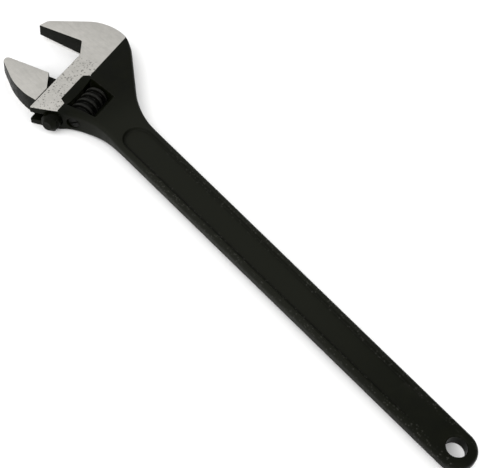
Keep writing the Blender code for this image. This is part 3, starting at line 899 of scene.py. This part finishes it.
def handle_look(n, colour):
    """Lighter along the handle, painted shade along the recessed panel's wall, chipped along the rims."""
    dark, _, worn = FORGED_BLACK
    run = n.measured((1, 0, 0))
    offset = n.math("SUBTRACT", n.measured((0, 1, 0)), HANDLE_Y)
    aside = n.math("ABSOLUTE", offset)
    # Lighter along the handle, fading out towards the hang hole
    lighter_handle = n.product(n.ramp(run, *LIGHTER_HANDLE_START), n.ramp(run, *LIGHTER_HANDLE_END))
    colour = n.mix(lighter_handle, colour, LIGHTER_HANDLE_BLACK)

    # Painted shade along the wall of the recessed panel, stronger on the side of negative offset
    short = n.math("MINIMUM", n.math("SUBTRACT", run, PANEL_ROUND_X), 0)
    limit = n.math("SUBTRACT", PANEL_HALF_WIDTH, n.product(run, PANEL_NARROWING))
    inset = n.math("SUBTRACT", limit, n.hypotenuse(short, aside))
    shade = n.product(n.ramp(inset, *SHADE_START), n.ramp(inset, *SHADE_END), n.ramp(run, *SHADE_RUNS_OUT))
    colour = n.mix(n.product(shade, n.ramp(offset, *SHADE_SIDES)), colour, dark)

    chips = n.product(n.ramp(n.cells(CHIP_SPACING), 0.42, 0.2), n.ramp(n.noise(4, 3), 0.44, 0.56))
    chips = n.product(chips, n.ramp(aside, *CHIPPED_FROM), n.ramp(run, *CHIPPED_START), CHIP_STRENGTH)
    return n.mix(chips, colour, worn)


def crest_highlight_look(n, colour):
    """The worm's crests are painted lighter than its grooves, a painted highlight on the crests."""
    across = n.math("SUBTRACT", n.measured(HEAD_X), WORM_ACROSS)
    up = n.math("SUBTRACT", n.measured((0, 0, 1)), MID / MM)
    return n.mix(n.ramp(n.hypotenuse(across, up), *CREST_RADII), colour, CREST_HIGHLIGHT_GREY)


def ground_steel(name, pitted=0.0):
    """Bright steel ground in parallel passes: fine streaks, a few specks, and a painted warm reflection
    along the edges.

    pitted is the strength of the larger pits on the bar."""
    n = Nodes(name)
    streaks = n.noise(1, 5, 0.7, n.stretched(0.035, 2.6, 1))
    broad = n.noise(1, 3, 0.6, n.stretched(0.02, 0.25, 1))
    tone = n.weighted((streaks, 0.45), (broad, 0.25), (n.noise(7, 4, 0.6), 0.3))
    colour = n.mix(n.ramp(tone, 0.34, 0.64), STEEL_STREAK, STEEL)
    speck = n.product(n.ramp(n.cells(1.15), 0.2, 0.06), n.ramp(n.noise(2.6, 3), 0.5, 0.62))
    colour = n.mix(n.product(speck, 0.75), colour, STEEL_SPECK)
    if pitted:
        pits = n.product(n.ramp(n.cells(PIT_SPACING), 0.46, 0.2), n.ramp(n.noise(3, 3), 0.44, 0.56))
        pits = n.product(pits, n.ramp(n.measured(HEAD_Y), *PITTED_FROM), pitted)
        colour = n.mix(pits, colour, STEEL_PIT)
    rounded_normal, edge = n.edges(STEEL_EDGE)
    # Painted warm reflection along the edges
    colour = n.mix(n.product(edge, 0.5), colour, STEEL_RIM_REFLECTION)
    height = n.weighted((streaks, 0.7), (speck, -0.8))
    roughness = n.ramp(tone, 0.3, 0.7, 0.42, 0.3)
    return n.finish(colour, roughness, n.bump(height, 0.018, rounded_normal), 1.0)


def spring_wire(name):
    """Oiled wire, streaked across its turns by drawing."""
    n = Nodes(name)
    drawn = n.noise(1, 3, 0.6, n.stretched(0.4, 0.4, 3))
    colour = n.mix(n.ramp(drawn, 0.35, 0.65), WIRE_STREAK, WIRE)
    return n.finish(colour, n.ramp(drawn, 0.3, 0.7, 0.28, 0.42), n.bump(drawn, 0.01), 1.0)


def floor_paper(name):
    n = Nodes(name)
    colour = n.mix(n.ramp(n.noise(300, 2), 0.3, 0.7), PAPER_SHADE, PAPER)
    return n.finish(colour, 0.9, n.bump(n.noise(2, 2), 0.01), 0.0, 0.2)


# ---------------------------------------------------------------- pieces


def ground_body(centre, normal):
    """True on the body's two ground faces."""
    x, y, z = centre
    if abs(normal.z) < FLAT or x > GROUND_LINE or inside(x, y, in_metres(RELIEF)):
        return False
    return abs(abs(z) - (MID - TAPER * (GROUND_LINE - x))) < FACE_TOLERANCE


def ground_jaw(centre, normal):
    """True on the movable jaw's two ground faces."""
    x, y, z = centre
    return abs(normal.z) > FLAT and abs(abs(z) - jaw_height(x, y)) < FACE_TOLERANCE


def finish_piece(made, place, node, body, materials, is_ground=None):
    """Tags the ground faces, marks the sharp edges, puts the mesh in place, attaches it to its body and
    hides its CAD node.
    """
    made.data.materials.clear()
    for material in materials:
        made.data.materials.append(material)
    shape = bmesh.new()
    shape.from_mesh(made.data)
    shape.normal_update()
    for face in shape.faces:
        face.smooth = True
        face.material_index = 1 if is_ground and is_ground(face.calc_center_median(), face.normal) else 0
    for edge in shape.edges:
        faces = edge.link_faces
        split = len(faces) != 2 or faces[0].material_index != faces[1].material_index
        edge.smooth = not split and edge.calc_face_angle(0) < SMOOTH_ANGLE
    shape.transform(place @ made.matrix_world)
    shape.to_mesh(made.data)
    shape.free()
    made.matrix_world = Matrix()
    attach(made, body)
    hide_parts(node)


def build_pieces():
    forging, jaw = make_body(), make_jaw()
    worm, pin, spring = make_worm(), make_pin(), make_spring()
    bpy.context.view_layer.update()

    turn = Matrix.Rotation(HEAD_ANGLE, 4, "Z")
    points = [turn @ v.co for v in forging.data.vertices]
    low, high = (Vector(corner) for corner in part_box("body"))
    middle = (low + high) / 2
    shift = [middle[i] - (min(p[i] for p in points) + max(p[i] for p in points)) / 2 for i in range(2)]
    place = Matrix.Translation((*shift, 0)) @ turn

    bright = ground_steel("ground_steel", BAR_PITS)
    bright_jaw = ground_steel("ground_jaw_steel")
    black = black_oxide("forged_black", FORGED_BLACK, 0.4, FORGED_GRAIN, look=handle_look)
    black_jaw = black_oxide("jaw_black", JAW_BLACK, 0.4, FORGED_GRAIN, 0.06)
    turned_black = black_oxide("turned_black", TURNED_BLACK, 0.34, TURNED_GRAIN, 0.07, crest_highlight_look)
    screw_black = black_oxide("screw_black", SCREW_BLACK, 0.42, TURNED_GRAIN)
    wire = spring_wire("spring_wire")
    finish_piece(forging, place, "body", "wrench_body", (black, bright), ground_body)
    finish_piece(jaw, place, "movable_jaw", "movable_jaw", (black_jaw, bright_jaw), ground_jaw)
    finish_piece(worm, place, "worm", "worm", (turned_black,))
    finish_piece(pin, place, "worm_pin", "wrench_body", (screw_black,))
    finish_piece(spring, place, "worm_spring", "wrench_body", (wire,))


# ---------------------------------------------------------------- stage


def make_camera():
    data = bpy.data.cameras.new("camera")
    data.lens = LENS
    data.sensor_width = SENSOR_WIDTH
    data.shift_x, data.shift_y = SHIFT
    data.clip_start, data.clip_end = CLIP
    camera = bpy.data.objects.new("camera", data)
    bpy.context.scene.collection.objects.link(camera)
    aim = (CAMERA_AIM - CAMERA_AT).to_track_quat("-Z", "Y").to_matrix().to_4x4()
    camera.matrix_world = Matrix.Translation(CAMERA_AT) @ aim @ Matrix.Rotation(CAMERA_ROLL, 4, "Z")
    bpy.context.scene.camera = camera


def make_light(name, at, size, power):
    """Square area light aimed at the wrench's middle."""
    data = bpy.data.lights.new(name, "AREA")
    data.size, data.energy = size, power
    made = bpy.data.objects.new(name, data)
    bpy.context.scene.collection.objects.link(made)
    made.location = at
    made.rotation_euler = (-Vector(at)).to_track_quat("-Z", "Y").to_euler()
    made.visible_glossy = False  # the ground faces mirror the soft sky only


def make_sky():
    """Soft light from all round, brighter on one side."""
    world = bpy.data.worlds.new("studio")
    world.use_nodes = True
    tree = world.node_tree
    back = tree.nodes["Background"]
    back.inputs["Color"].default_value = (1, 1, 1, 1)
    towards = tree.nodes.new("ShaderNodeVectorMath")
    towards.operation = "DOT_PRODUCT"
    tree.links.new(tree.nodes.new("ShaderNodeTexCoord").outputs["Generated"], towards.inputs[0])
    towards.inputs[1].default_value = Vector(SKY_TOWARDS).normalized()
    fade = tree.nodes.new("ShaderNodeMapRange")
    tree.links.new(towards.outputs["Value"], fade.inputs["Value"])
    fade.inputs["From Min"].default_value = -1
    fade.inputs["To Min"].default_value, fade.inputs["To Max"].default_value = SKY_STRENGTH
    tree.links.new(fade.outputs[0], back.inputs["Strength"])
    bpy.context.scene.world = world


def make_stage():
    shape = bmesh.new()
    bmesh.ops.create_grid(shape, x_segments=1, y_segments=1, size=FLOOR_SIZE)
    floor = add_object("floor", mesh_from("floor", shape), (0, 0, -FLOOR_DROP))
    floor.data.materials.append(floor_paper("floor_white"))
    make_light("key", *KEY_LIGHT)
    make_light("side", *SIDE_LIGHT)
    make_sky()
    bpy.context.scene.view_settings.view_transform = "Standard"


make_camera()
make_stage()
build_pieces()
bpy.context.view_layer.update()
